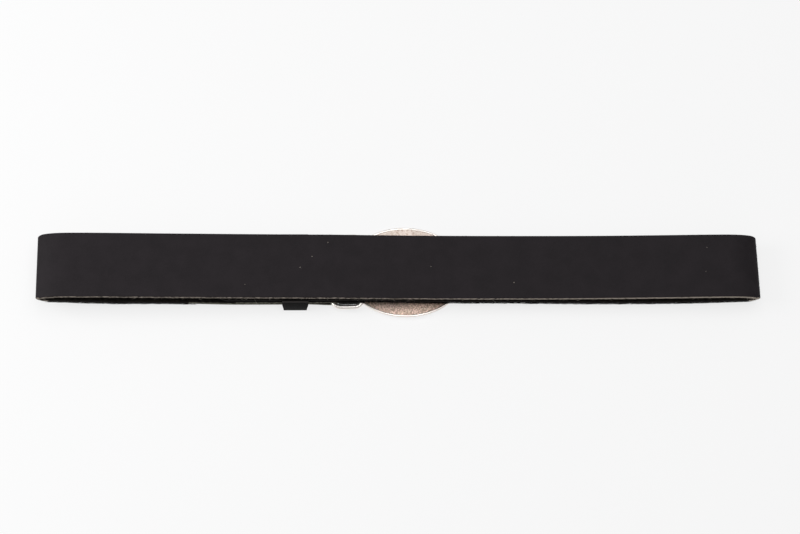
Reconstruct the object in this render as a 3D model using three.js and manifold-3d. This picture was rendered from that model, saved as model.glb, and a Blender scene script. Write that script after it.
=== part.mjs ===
// A fur-trimmed leather belt for the waist, fastened, flattened into a long closed loop and lying
// with its oval buckle face down. Millimetres: X runs along the loop, Y across the strap, Z up, and
// the origin is under the middle of the loop, on the surface that the belt lies on.
import * as THREE from "three";
import { mergeVertices } from "three/addons/utils/BufferGeometryUtils.js";
import Module from "manifold-3d";

const wasm = await Module();
wasm.setup();

// The strap and what is laid on it
const STRAP_WIDTH = 38.5;
const LEATHER = 3.0;
const SKIVED = 1.8; // the fold and its flap are pared down, so that they bend round the wire
const HIDE = 1.2; // hair-on hide, pressed flat
const SEAM = 0.25; // between pieces that lie on each other
const STEP = 7; // between the sections of the strap where it is nearly straight
const LOOP_HALF = 211.4; // from the middle to either end of the loop
const TIP_RADIUS = STRAP_WIDTH / 2 + 0.4;

// The turns at the loop's two ends, from the low side up: each arc's radius along the strap's
// middle line, and the heading in degrees that it ends at
const LEFT_TURN = [
  { radius: 2.2, to: 35, steps: 8 },
  { radius: 16, to: 15, steps: 3 },
  { radius: 36, to: 2, steps: 3 },
];
const RIGHT_TURN = [
  { radius: 2.1, to: 32, steps: 8 },
  { radius: 15, to: 13, steps: 3 },
  { radius: 45, to: 2, steps: 3 },
];

// The holes in the strap
const HOLE = { across: 5, pitch: 25, toEachSide: 2, sides: 14 };

// The oval plate, its hook and its hinge tube
const PLATE = { x: 2.3, halfLength: 35.5, halfWidth: 27.5, flat: 12, rise: 1.6, thick: 1.7 };
const RIDGE = { high: 0.2, wide: 1.8, edge: 0.5, slope: 0.3 };
const HOOK = { x: 26.5, thick: 3.0, wide: 3.2, reach: 2.6, head: 1.6, round: 1.3, overStrap: 0.35 };
const TUBE = { x: -24.2, across: 4.4, bore: 2.9, length: 24, foot: 3, footLength: 22 };

// The wire ring that hinges in the tube and holds the fold
const WIRE = 2.4;
const RING = { barX: -40.3, halfSpan: 21.8 };
const RING_CORNER = { across: 3.2, alongTube: 3.5, alongStrap: 6 };
const WIRE_PLAY = 0.3; // between the wire and what turns on it

// The sliding keeper, which is wider at its foot than at its top
const KEEPER = { x: -62.6, wide: 14.4, halfFoot: 22.9, halfTop: 20.8, wall: 1.3, side: 1.4 };
const KEEPER_CORNER = { outer: 2.2, inner: 0.4 };

// Levels that follow from what lies on what
const rimTop = PLATE.rise + PLATE.thick + RIDGE.high;
const tubeZ = rimTop + WIRE_PLAY + WIRE / 2;
const overHide = SEAM + HIDE + SEAM + LEATHER / 2;
const frontLevel = KEEPER.wall + SEAM + LEATHER / 2;
const flapLevel = frontLevel + LEATHER / 2 + SEAM + SKIVED / 2;
const tailLevel = flapLevel + SKIVED / 2 + overHide;
const keeperTop = tailLevel + LEATHER / 2 + SEAM + KEEPER.wall;
const foldRadius = WIRE / 2 + WIRE_PLAY + SKIVED / 2;
const underFold = 0.1;
const barZ = underFold + SKIVED / 2 + foldRadius;
const plateStrap = rimTop + overHide;
const tubeStrap = tubeZ + TUBE.across / 2 + overHide;

// Points of the fold round the ring's bar, from above the bar down to under it
function fold(steps) {
  return Array.from({ length: steps + 1 }, (_, i) => {
    const angle = Math.PI * (0.5 - i / steps);
    const x = RING.barX + foldRadius * Math.cos(angle);
    return { x, z: barZ + foldRadius * Math.sin(angle), thick: SKIVED };
  });
}

// Points of the turn at one end of the loop, from the front layer up to the back one. They are
// worked out for the left end, and mirrored where side is 1.
function endTurn(side, lowZ, arcs) {
  let heading = Math.PI;
  let at = { x: LEATHER / 2 + arcs[0].radius - LOOP_HALF, z: lowZ };
  const points = [at];
  for (const { radius, to, steps } of arcs) {
    const turned = (THREE.MathUtils.degToRad(to) - heading) / steps;
    for (let i = 0; i < steps; i++) {
      const next = heading + turned;
      at = {
        x: at.x + radius * (Math.sin(heading) - Math.sin(next)),
        z: at.z + radius * (Math.cos(next) - Math.cos(heading)),
      };
      heading = next;
      points.push(at);
    }
  }
  return points.map(({ x, z }) => ({ x: -side * x, z, thick: LEATHER }));
}

// The strap's middle line, from the end of the flap round the whole loop to the tip of the tail.
// Each row gives a place on it and the leather's thickness there.
const STATIONS = [
  { x: -97, z: flapLevel, thick: SKIVED },
  { x: -78, z: flapLevel, thick: SKIVED },
  { x: -56, z: flapLevel, thick: SKIVED },
  ...fold(10),
  { x: -44, z: 1.25, thick: 2.0 },
  { x: -49, z: 2.3, thick: 2.6 },
  { x: -54.5, z: frontLevel, thick: LEATHER },
  { x: -70, z: frontLevel, thick: LEATHER },
  { x: -85, z: frontLevel, thick: LEATHER },
  { x: -98, z: frontLevel + 0.05, thick: LEATHER },
  { x: -111, z: 4.0, thick: LEATHER },
  { name: "left hide starts", x: -124, z: 5.3, thick: LEATHER },
  { x: -135, z: 6.2, thick: LEATHER },
  { x: -148, z: 6.9, thick: LEATHER },
  { x: -160, z: 7.2, thick: LEATHER },
  { x: -170, z: 7.5, thick: LEATHER },
  { x: -184, z: 8.4, thick: LEATHER },
  { x: -196, z: 9.9, thick: LEATHER },
  { name: "left hide ends", x: -204.5, z: 10.5, thick: LEATHER },
  ...endTurn(-1, 10.6, LEFT_TURN),
  { x: -184, z: 18.2, thick: LEATHER },
  { x: -169, z: 17.9, thick: LEATHER },
  { x: -141, z: 17.0, thick: LEATHER },
  { x: -112, z: 16.2, thick: LEATHER },
  { x: -83, z: 15.55, thick: LEATHER },
  { x: -55, z: 14.95, thick: LEATHER },
  { x: -40, z: 14.75, thick: LEATHER },
  { x: -23, z: 14.0, thick: LEATHER },
  { x: 4, z: 13.1, thick: LEATHER },
  { x: 34, z: 12.5, thick: LEATHER },
  { x: 64, z: 12.3, thick: LEATHER },
  { x: 93, z: 12.35, thick: LEATHER },
  { x: 122, z: 12.8, thick: LEATHER },
  { x: 152, z: 13.8, thick: LEATHER },
  { x: 181, z: 15.0, thick: LEATHER },
  ...endTurn(1, 8.3, RIGHT_TURN).reverse(),
  { name: "right hide starts", x: 205.5, z: 8.2, thick: LEATHER },
  { x: 196, z: 7.45, thick: LEATHER },
  { x: 182, z: 6.15, thick: LEATHER },
  { x: 168, z: 5.3, thick: LEATHER },
  { x: 153, z: 4.7, thick: LEATHER },
  { x: 138, z: 4.5, thick: LEATHER },
  { x: 123, z: 4.5, thick: LEATHER },
  { x: 108, z: 4.75, thick: LEATHER },
  { x: 93, z: 5.3, thick: LEATHER },
  { x: 78, z: 6.0, thick: LEATHER },
  { x: 64, z: 6.6, thick: LEATHER },
  { x: 50, z: plateStrap + 0.15, thick: LEATHER },
  { x: 38.5, z: plateStrap + 0.15, thick: LEATHER },
  { x: HOOK.x, z: plateStrap + 0.4, thick: LEATHER },
  { x: 14, z: 7.7, thick: LEATHER },
  { x: 0, z: 8.6, thick: LEATHER },
  { x: -13, z: 9.6, thick: LEATHER },
  { x: -18.5, z: tubeStrap - 0.25, thick: LEATHER },
  { x: TUBE.x, z: tubeStrap + 0.05, thick: LEATHER },
  { x: -32, z: 10.2, thick: LEATHER },
  { x: -40, z: tailLevel + 0.15, thick: LEATHER },
  { x: -55, z: tailLevel, thick: LEATHER },
  { x: -70, z: tailLevel, thick: LEATHER },
  { x: -90, z: tailLevel + 0.1, thick: LEATHER },
  { name: "tip", x: -118.2, z: 10.2, thick: LEATHER },
];

// The stations joined by one smooth curve, with its outward side. The curve's Y carries the
// thickness. The outward side is to the left of the way from the flap to the tip.
function middleLine(stations, spacing) {
  const knots = stations.map((s) => new THREE.Vector3(s.x, s.thick, s.z));
  const curve = new THREE.CatmullRomCurve3(knots, false, "centripetal");
  const spans = knots.length - 1;
  const line = [];
  for (let i = 0; i < spans; i++) {
    const parts = Math.max(1, Math.round(knots[i].distanceTo(knots[i + 1]) / spacing));
    for (let k = 0; k < parts; k++) {
      const t = (i + k / parts) / spans;
      line.push({ t, name: k === 0 ? stations[i].name : undefined });
    }
  }
  line.push({ t: 1, name: stations[spans].name });
  return line.map(({ t, name }) => {
    const at = curve.getPoint(t);
    const along = curve.getTangent(t).setY(0).normalize();
    return { x: at.x, z: at.z, thick: at.y, name, outX: -along.z, outZ: along.x };
  });
}

const strapLine = middleLine(STATIONS, STEP);

// The stretch of the middle line between two named stations
function stretch(from, to) {
  const index = (name) => strapLine.findIndex((p) => p.name === name);
  return strapLine.slice(index(from), index(to) + 1);
}

// A layer that follows the line over the strap's width, between two distances outward from it.
// Each point of the line gives a ring of four corners, and neighbouring rings are joined.
function layer(line, inner, outer) {
  const half = STRAP_WIDTH / 2;
  const corners = line.flatMap((p) =>
    [[inner, -half], [outer, -half], [outer, half], [inner, half]].flatMap(([distance, y]) => {
      const d = distance(p);
      return [p.x + p.outX * d, y, p.z + p.outZ * d];
    }),
  );
  const faces = [];
  const quad = (a, b, c, d) => faces.push(a, b, c, a, c, d);
  for (let i = 0; i < line.length - 1; i++) {
    const here = i * 4;
    const next = here + 4;
    for (let k = 0; k < 4; k++) {
      const beside = (k + 1) % 4;
      quad(here + k, next + k, next + beside, here + beside);
    }
  }
  const last = (line.length - 1) * 4;
  quad(0, 1, 2, 3);
  quad(last + 3, last + 2, last + 1, last);
  const geometry = new THREE.BufferGeometry();
  geometry.setAttribute("position", new THREE.Float32BufferAttribute(corners, 3));
  geometry.setIndex(faces);
  return solid(geometry);
}

// A closed three.js geometry as a manifold solid, its faces turned to point outwards
function solid(geometry) {
  const bare = geometry.index ? geometry.toNonIndexed() : geometry.clone();
  bare.deleteAttribute("normal");
  bare.deleteAttribute("uv");
  const merged = mergeVertices(bare, 1e-4);
  const vertProperties = merged.attributes.position.array;
  const make = (triVerts) =>
    new wasm.Manifold(new wasm.Mesh({ numProp: 3, vertProperties, triVerts }));
  const triVerts = new Uint32Array(merged.index.array);
  const made = make(triVerts);
  return made.volume() > 0 ? made : make(triVerts.reverse());
}

// A named mesh from a manifold solid
function piece(name, body, material) {
  const mesh = body.getMesh();
  const corners = new Float32Array(mesh.numVert * 3);
  for (let i = 0; i < mesh.numVert; i++) {
    const first = i * mesh.numProp;
    corners.set(mesh.vertProperties.subarray(first, first + 3), i * 3);
  }
  const geometry = new THREE.BufferGeometry();
  geometry.setAttribute("position", new THREE.BufferAttribute(corners, 3));
  geometry.setIndex(new THREE.BufferAttribute(new Uint32Array(mesh.triVerts), 1));
  geometry.computeVertexNormals();
  const made = new THREE.Mesh(geometry, material);
  made.name = name;
  return made;
}

// An upright cylinder from one height to another
function peg(x, radius, from, to, sides) {
  const geometry = new THREE.CylinderGeometry(radius, radius, to - from, sides);
  return solid(geometry.rotateX(Math.PI / 2).translate(x, 0, (from + to) / 2));
}

// The height and thickness at an X, between the two points of a stretch that it lies between
function lineAt(line, x) {
  const next = line.findIndex((p, i) => i > 0 && (p.x - x) * (line[i - 1].x - x) <= 0);
  const [a, b] = [line[next - 1], line[next]];
  const share = (x - a.x) / (b.x - a.x);
  return { z: a.z + share * (b.z - a.z), thick: a.thick + share * (b.thick - a.thick) };
}

// The holes of the tail, on both sides of the one that the hook is in
function tailHoles() {
  const tail = stretch("right hide starts", "tip");
  const pastHide = 0.8;
  const pastLeather = 0.2;
  const cutters = [];
  for (let k = -HOLE.toEachSide; k <= HOLE.toEachSide; k++) {
    const x = HOOK.x + k * HOLE.pitch;
    const { z } = lineAt(tail, x);
    const low = z - LEATHER / 2 - SEAM - HIDE - pastHide;
    const high = z + LEATHER / 2 + pastLeather;
    cutters.push(peg(x, HOLE.across / 2, low, high, HOLE.sides));
  }
  return cutters;
}

// What is cut off the square end of the tail to leave a round tip
function tipCutter() {
  const end = strapLine.at(-1);
  const spare = 1;
  const past = 0.5;
  const half = STRAP_WIDTH / 2;
  const centre = end.x + TIP_RADIUS;
  const low = end.z - overHide + SEAM - past;
  const high = end.z + LEATHER / 2 + past;
  const outline = new THREE.Shape();
  outline.moveTo(centre, half + spare);
  outline.lineTo(end.x - spare, half + spare);
  outline.lineTo(end.x - spare, -half - spare);
  outline.lineTo(centre, -half - spare);
  outline.absarc(centre, 0, TIP_RADIUS, -Math.PI / 2, Math.PI / 2, true);
  const geometry = new THREE.ExtrudeGeometry(outline, {
    depth: high - low,
    bevelEnabled: false,
    curveSegments: 20,
  });
  return solid(geometry.translate(0, 0, low));
}

// The strap: one length of leather, with its holes and its round tip
function strap() {
  return [tipCutter(), ...tailHoles()].reduce(
    (body, cutter) => body.subtract(cutter),
    layer(strapLine, (p) => -p.thick / 2, (p) => p.thick / 2),
  );
}

// A strip of hair-on hide on the strap's outward face, between two named stations
function hideStrip(from, to) {
  return layer(
    stretch(from, to),
    (p) => p.thick / 2 + SEAM,
    (p) => p.thick / 2 + SEAM + HIDE,
  );
}

// The strip on the tail's side of the loop has the tail's holes and tip
function tailHide() {
  return [tipCutter(), ...tailHoles()].reduce(
    (body, cutter) => body.subtract(cutter),
    hideStrip("right hide starts", "tip"),
  );
}

// The oval plate as a turned dish whose width is kept and whose length is drawn out to the oval
function dish() {
  const { halfWidth, flat, rise, thick } = PLATE;
  const front = (r) => rise * (Math.max(0, r - flat) / (halfWidth - flat)) ** 2;
  const span = halfWidth - flat;
  const steps = 6;
  const around = 56;
  const foot = halfWidth - RIDGE.wide;
  const profile = [[0, 0]];
  for (let i = 0; i < steps; i++) {
    const r = flat + (span * i) / steps;
    profile.push([r, front(r)]);
  }
  profile.push(
    [halfWidth - RIDGE.edge, front(halfWidth - RIDGE.edge)],
    [halfWidth, front(halfWidth) + RIDGE.edge],
    [halfWidth, rimTop - RIDGE.edge],
    [halfWidth - RIDGE.edge, rimTop],
    [foot + RIDGE.slope, rimTop],
    [foot, front(foot) + thick],
  );
  for (let i = steps - 2; i >= 0; i--) {
    const r = flat + ((foot - flat) * i) / (steps - 1);
    profile.push([r, front(r) + thick]);
  }
  profile.push([0, thick]);
  const geometry = new THREE.LatheGeometry(
    profile.map(([r, z]) => new THREE.Vector2(r, z)),
    around,
  ).rotateX(Math.PI / 2);
  const extra = PLATE.halfLength - halfWidth;
  const corners = geometry.attributes.position;
  for (let i = 0; i < corners.count; i++) {
    const r = Math.max(flat, Math.hypot(corners.getX(i), corners.getY(i)));
    corners.setX(i, (corners.getX(i) * (r + extra)) / r);
  }
  return solid(geometry.translate(PLATE.x, 0, 0));
}

// The hinge tube and its foot on the back of the plate
function hingeTube() {
  const outer = TUBE.across / 2;
  const inner = TUBE.bore / 2;
  const half = TUBE.length / 2;
  const sides = 20;
  const belowBore = 0.25;
  const wall = [[inner, -half], [outer, -half], [outer, half], [inner, half], [inner, -half]];
  const tube = new THREE.LatheGeometry(
    wall.map(([r, y]) => new THREE.Vector2(r, y)),
    sides,
  );
  const low = PLATE.thick;
  const high = tubeZ - inner - belowBore;
  const foot = new THREE.BoxGeometry(TUBE.foot, TUBE.footLength, high - low);
  foot.translate(TUBE.x, 0, (low + high) / 2);
  return solid(tube.translate(TUBE.x, 0, tubeZ)).add(solid(foot));
}

// The hook: a flat cast tongue that stands through a hole and leans over the strap
function hook() {
  const tail = stretch("right hide starts", "tip");
  const under = lineAt(tail, HOOK.x - HOOK.reach).z + LEATHER / 2 + HOOK.overStrap;
  const left = HOOK.x - HOOK.thick / 2;
  const right = HOOK.x + HOOK.thick / 2;
  const top = under + HOOK.head;
  const nose = left - HOOK.reach;
  const outline = new THREE.Shape();
  outline.moveTo(right, PLATE.thick);
  outline.lineTo(right, top - HOOK.round);
  outline.quadraticCurveTo(right, top, right - HOOK.round, top);
  outline.lineTo(nose + HOOK.round / 2, top);
  outline.quadraticCurveTo(nose, top, nose, top - HOOK.head / 2);
  outline.quadraticCurveTo(nose, under, nose + HOOK.round / 2, under);
  outline.lineTo(left, under);
  outline.lineTo(left, PLATE.thick);
  const geometry = new THREE.ExtrudeGeometry(outline, {
    depth: HOOK.wide,
    bevelEnabled: false,
    curveSegments: 4,
  });
  return solid(geometry.rotateX(Math.PI / 2).translate(0, HOOK.wide / 2, 0));
}

// The ring's wire, a rounded rectangle drawn flat with its tube bar along Y at X = 0, then hinged
// down so that its other bar lies in the fold
function ring() {
  const long = Math.hypot(TUBE.x - RING.barX, barZ - tubeZ);
  const corners = [
    { x: -RING_CORNER.alongTube, y: RING.halfSpan, r: RING_CORNER.alongTube, from: 0 },
    { x: RING_CORNER.alongStrap - long, y: RING.halfSpan, r: RING_CORNER.alongStrap, from: 90 },
    { x: RING_CORNER.alongStrap - long, y: -RING.halfSpan, r: RING_CORNER.alongStrap, from: 180 },
    { x: -RING_CORNER.alongTube, y: -RING.halfSpan, r: RING_CORNER.alongTube, from: 270 },
  ];
  const steps = 5;
  const sections = 96;
  const sides = 8;
  const route = [];
  for (const c of corners) {
    const cy = c.y - Math.sign(c.y) * RING_CORNER.across;
    for (let i = 0; i <= steps; i++) {
      const angle = THREE.MathUtils.degToRad(c.from + (90 * i) / steps);
      const y = cy + RING_CORNER.across * Math.sin(angle);
      route.push(new THREE.Vector3(c.x + c.r * Math.cos(angle), y, 0));
    }
  }
  const path = new THREE.CurvePath();
  route.forEach((at, i) => path.add(new THREE.LineCurve3(at, route[(i + 1) % route.length])));
  const wire = new THREE.TubeGeometry(path, sections, WIRE / 2, sides, true);
  wire.rotateY(Math.asin((barZ - tubeZ) / long));
  return solid(wire.translate(TUBE.x, 0, tubeZ));
}

// A closed outline through corner points, each of them rounded off
function rounded(path, corners, r) {
  corners.forEach((corner, i) => {
    const before = corners.at(i - 1).clone().sub(corner).setLength(r).add(corner);
    const after = corners[(i + 1) % corners.length].clone().sub(corner).setLength(r).add(corner);
    if (i === 0) {
      path.moveTo(before.x, before.y);
    } else {
      path.lineTo(before.x, before.y);
    }
    path.quadraticCurveTo(corner.x, corner.y, after.x, after.y);
  });
  path.closePath();
  return path;
}

// The keeper: a narrow leather loop round the front layer, the flap and the tail
function keeper() {
  const { wall, side, halfFoot, halfTop, wide } = KEEPER;
  const half = (z) => halfFoot + ((halfTop - halfFoot) * z) / keeperTop;
  const corners = (low, high, less) => [
    new THREE.Vector2(less - half(low), low),
    new THREE.Vector2(half(low) - less, low),
    new THREE.Vector2(half(high) - less, high),
    new THREE.Vector2(less - half(high), high),
  ];
  const outline = rounded(new THREE.Shape(), corners(0, keeperTop, 0), KEEPER_CORNER.outer);
  const inside = corners(wall, keeperTop - wall, side);
  outline.holes.push(rounded(new THREE.Path(), inside, KEEPER_CORNER.inner));
  const geometry = new THREE.ExtrudeGeometry(outline, {
    depth: wide,
    bevelEnabled: false,
    curveSegments: 5,
  });
  const acrossStrap = new THREE.Matrix4().makeBasis(
    new THREE.Vector3(0, 1, 0),
    new THREE.Vector3(0, 0, 1),
    new THREE.Vector3(1, 0, 0),
  );
  return solid(geometry.applyMatrix4(acrossStrap).translate(KEEPER.x - wide / 2, 0, 0));
}

const blackLeather = new THREE.MeshStandardMaterial({
  color: 0x2b292a,
  roughness: 0.62,
  metalness: 0,
});
const blackFur = new THREE.MeshStandardMaterial({
  color: 0x141213,
  roughness: 0.9,
  metalness: 0,
});
const agedSilver = new THREE.MeshStandardMaterial({
  color: 0xc9b3a6,
  roughness: 0.38,
  metalness: 1,
});

const belt = new THREE.Group();
belt.add(piece("strap", strap(), blackLeather));
belt.add(piece("keeper", keeper(), blackLeather));

const fur = new THREE.Group();
fur.add(piece("fur_strip_left", hideStrip("left hide starts", "left hide ends"), blackFur));
fur.add(piece("fur_strip_right", tailHide(), blackFur));
belt.add(fur);

const buckle = new THREE.Group();
buckle.add(piece("buckle_plate", dish().add(hingeTube()).add(hook()), agedSilver));
buckle.add(piece("buckle_ring", ring(), agedSilver));
belt.add(buckle);

export default belt;
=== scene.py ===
import math

import bmesh
import bpy
import numpy as np
from mathutils import Matrix, Vector, noise


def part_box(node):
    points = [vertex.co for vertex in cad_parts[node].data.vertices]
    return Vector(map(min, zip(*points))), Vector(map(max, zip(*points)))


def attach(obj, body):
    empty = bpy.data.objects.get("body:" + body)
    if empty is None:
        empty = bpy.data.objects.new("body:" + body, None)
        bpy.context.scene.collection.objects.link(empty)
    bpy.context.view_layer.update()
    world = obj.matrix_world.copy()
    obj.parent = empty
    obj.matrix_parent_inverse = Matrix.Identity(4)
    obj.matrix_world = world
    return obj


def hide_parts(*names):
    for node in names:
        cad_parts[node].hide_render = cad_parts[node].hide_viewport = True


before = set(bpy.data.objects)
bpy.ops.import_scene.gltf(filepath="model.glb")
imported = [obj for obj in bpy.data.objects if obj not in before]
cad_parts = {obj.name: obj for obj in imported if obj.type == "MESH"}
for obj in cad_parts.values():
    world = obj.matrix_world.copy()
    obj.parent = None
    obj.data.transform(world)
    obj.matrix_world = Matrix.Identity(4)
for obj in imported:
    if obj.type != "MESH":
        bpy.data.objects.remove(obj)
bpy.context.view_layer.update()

# The camera
# It looks down on the belt from a little over a metre and leans towards the near edge, as the
# photograph does. Its focal length is given in pixels of a picture that is 800 wide.
def look_down(aim, distance, tilt, yaw, roll, focal_px, picture_px):
    away = Vector((
        math.sin(yaw),
        -math.sin(tilt) * math.cos(yaw),
        math.cos(tilt) * math.cos(yaw),
    ))
    level = Vector((away.z, 0, -away.x)).normalized()
    upright = level.cross(-away)
    right = level * math.cos(roll) + upright * math.sin(roll)
    up = upright * math.cos(roll) - level * math.sin(roll)
    data = bpy.data.cameras.new("camera")
    data.sensor_width = 36
    data.lens = focal_px / picture_px * data.sensor_width
    camera = bpy.data.objects.new("camera", data)
    turn = Matrix((right, up, away)).transposed().to_4x4()
    camera.matrix_world = Matrix.Translation(aim + away * distance) @ turn
    bpy.context.scene.collection.objects.link(camera)
    bpy.context.scene.camera = camera


look_down(
    aim=Vector((-0.00056, 0.00437, 0)),
    distance=1.0866,
    tilt=math.radians(17.571),
    yaw=math.radians(-3.782),
    roll=math.radians(-1.247),
    focal_px=1836.8,
    picture_px=800,
)


# The table and the light
# A white light table that glows from below, under one wide soft light from above and the far side,
# with a pale room round it. The glow leaves only faint shadows.
def add(tree, kind, sockets=(), **settings):
    """A new shader node. Each socket is given another node's output or a constant."""
    made = tree.nodes.new("ShaderNode" + kind)
    for key, value in settings.items():
        setattr(made, key, value)
    for key, value in dict(sockets).items():
        if isinstance(value, bpy.types.NodeSocket):
            tree.links.new(value, made.inputs[key])
        else:
            made.inputs[key].default_value = value
    return made


def new_finish(name, colour, roughness, metallic=0.0, specular=0.5):
    material = bpy.data.materials.new(name)
    material.use_nodes = True
    tree = material.node_tree
    shader = tree.nodes["Principled BSDF"]
    shader.inputs["Base Color"].default_value = (*colour, 1)
    shader.inputs["Roughness"].default_value = roughness
    shader.inputs["Metallic"].default_value = metallic
    shader.inputs["Specular IOR Level"].default_value = specular
    return material, tree, shader


def show(name, mesh, *materials):
    """Puts a mesh into the scene as a smooth-shaded object."""
    mesh.polygons.foreach_set("use_smooth", [True] * len(mesh.polygons))
    for material in materials:
        mesh.materials.append(material)
    piece = bpy.data.objects.new(name, mesh)
    bpy.context.scene.collection.objects.link(piece)
    return piece


def place(name, bm, *materials):
    mesh = bpy.data.meshes.new(name)
    bm.to_mesh(mesh)
    bm.free()
    return show(name, mesh, *materials)


def soft_light(name, where, size, power):
    """A rectangular light that faces the middle of the belt."""
    data = bpy.data.lights.new(name, "AREA")
    data.shape = "RECTANGLE"
    data.size, data.size_y = size
    data.energy = power
    lamp = bpy.data.objects.new(name, data)
    lamp.location = where
    lamp.rotation_euler = (-Vector(where)).to_track_quat("-Z", "Y").to_euler()
    bpy.context.scene.collection.objects.link(lamp)


table = bmesh.new()
bmesh.ops.create_grid(table, x_segments=1, y_segments=1, size=3)
table_top, _, table_shader = new_finish("table top", (0.14, 0.14, 0.141), 0.9, specular=0.1)
table_shader.inputs["Emission Color"].default_value = (1, 1, 1, 1)
table_shader.inputs["Emission Strength"].default_value = 0.76
place("table", table, table_top)

soft_light("overhead", where=(0.15, 0.35, 1.5), size=(1.5, 1.1), power=15)
soft_light("left", where=(-0.8, 0.05, 0.55), size=(0.5, 0.5), power=6.5)
room = bpy.data.worlds.new("room")
room.use_nodes = True
room.node_tree.nodes["Background"].inputs["Color"].default_value = (1, 1, 1, 1)
room.node_tree.nodes["Background"].inputs["Strength"].default_value = 0.43
bpy.context.scene.world = room
bpy.context.scene.view_settings.view_transform = "Standard"


# The strap
# One length of thick black leather with raw edges, cut flat with a round tip, then bent round the
# ring's bar, along the front, round both ends of the loop and back over the buckle.
LEATHER = 0.003
SKIVED = 0.0018
STRAP_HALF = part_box("strap")[1].y
TIP_RADIUS = STRAP_HALF + 0.0004
SAME_PLACE = 1e-7


def side_rims():
    """The outward and the inward rim of the strap's near side, from the flap to the tail."""
    solid = bmesh.new()
    solid.from_mesh(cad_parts["strap"].data)
    bmesh.ops.remove_doubles(solid, verts=solid.verts, dist=SAME_PLACE)
    near = min(v.co.y for v in solid.verts) + 1e-5
    side = {f for f in solid.faces if max(v.co.y for v in f.verts) < near}
    rim = {e for e in solid.edges if len(side.intersection(e.link_faces)) == 1}
    upright = [e for e in rim if abs(e.verts[0].co.x - e.verts[1].co.x) < 1e-6]
    flap_end = min(upright, key=lambda e: abs(e.calc_length() - SKIVED))
    chain = [max(flap_end.verts, key=lambda v: v.co.z)]
    edge = flap_end
    for _ in range(len(rim) - 1):
        edge = next(e for e in chain[-1].link_edges if e in rim and e is not edge)
        chain.append(edge.other_vert(chain[-1]))
    points = np.array([(v.co.x, v.co.z) for v in chain])
    solid.free()
    half = len(points) // 2
    return points[:half], points[:half - 1:-1]


def strap_run():
    """The strap's middle line as close rows.

    Each has the length along it, the place, the outward side, the thickness and how much it turns.
    """
    close = 0.00025
    outward, inward = side_rims()
    middle = (outward + inward) / 2
    thick = np.hypot(*(outward - inward).T)
    last = middle[-1] - middle[-2]
    tip_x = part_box("fur_strip_right")[0].x
    middle = np.vstack([middle, middle[-1] + last * (tip_x - middle[-1][0]) / last[0]])
    thick = np.append(thick, thick[-1])
    along = np.append(0, np.cumsum(np.hypot(*np.diff(middle, axis=0).T)))
    slope = np.gradient(middle, along, axis=0)
    fine = np.arange(0, along[-1], close)
    row = np.clip(np.searchsorted(along, fine, side="right") - 1, 0, len(along) - 2)
    span = (along[row + 1] - along[row])[:, None]
    t = (fine - along[row])[:, None] / span
    at = (
        middle[row] * (2 * t**3 - 3 * t**2 + 1)
        + middle[row + 1] * (3 * t**2 - 2 * t**3)
        + slope[row] * span * (t**3 - 2 * t**2 + t)
        + slope[row + 1] * span * (t**3 - t**2)
    )
    way = np.gradient(at, fine, axis=0)
    way /= np.hypot(*way.T)[:, None]
    length = np.append(0, np.cumsum(np.hypot(*np.diff(at, axis=0).T)))
    heading = np.unwrap(np.arctan2(way[:, 1], way[:, 0]))
    smooth = np.hanning(17)
    turning = np.convolve(np.abs(np.gradient(heading, length)), smooth / smooth.sum(), "same")
    return {
        "s": length,
        "x": at[:, 0],
        "z": at[:, 1],
        "out_x": -way[:, 1],
        "out_z": way[:, 0],
        "thick": np.interp(fine, along, thick),
        "turning": turning,
    }


run = strap_run()
TIGHTEST = 0.0022  # the radius of the tightest turn
DRAWN_IN = 0.036  # the share of its width that the outside loses there
STRAP_LENGTH = run["s"][-1]
LEFT_END = np.argmin(run["x"])
RIGHT_END = np.argmax(run["x"])
FOLD = np.argmax(run["x"][:LEFT_END])


def bend(flat):
    """Flat points (along the strap, across it, out of it) where they lie on the bent strap.

    The outside of a tight turn is stretched, so the leather draws in from its edges there.
    """
    s, y, out = np.asarray(flat).T
    at = {key: np.interp(s, run["s"], run[key]) for key in run}
    tight = np.minimum(at["turning"] * TIGHTEST, 1)
    y = y * (1 - DRAWN_IN * tight * (out / LEATHER + 0.5))
    out = out * at["thick"] / LEATHER
    return np.column_stack([at["x"] + at["out_x"] * out, y, at["z"] + at["out_z"] * out])


def narrowing(s):
    """The share of its width that the strap keeps, down to nothing at its round tip."""
    past = np.clip(s - (STRAP_LENGTH - TIP_RADIUS), 0, TIP_RADIUS)
    return np.minimum(1, np.sqrt(TIP_RADIUS**2 - past**2) / STRAP_HALF)


def rows_between(start, end):
    """Lengths along the strap, closer together where it bends and towards its round tip."""
    straight_step = 0.0025
    bend_step = math.radians(6)
    tip_step = math.radians(5)
    almost = 0.9995  # short of the very point, where the steps would be endless
    past = np.clip(run["s"] - (STRAP_LENGTH - TIP_RADIUS), 0, TIP_RADIUS * almost)
    rounding = np.where(past > 0, 1 / np.sqrt(TIP_RADIUS**2 - past**2), 0)
    density = 1 / straight_step + run["turning"] / bend_step + rounding / tip_step
    count = np.append(0, np.cumsum((density[1:] + density[:-1]) / 2 * np.diff(run["s"])))
    first, last = np.interp([start, end], run["s"], count)
    steps = int(math.ceil(last - first))
    return np.interp(np.linspace(first, last, steps + 1), count, run["s"])


def sharp_edges(bm):
    return [e for e in bm.edges if e.calc_face_angle(0) > 1]


def round_off(bm, edges, radius, segments):
    bmesh.ops.bevel(
        bm, geom=edges, offset=radius, offset_type="OFFSET", segments=segments, profile=0.5,
        affect="EDGES", material=-1,
    )


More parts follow.
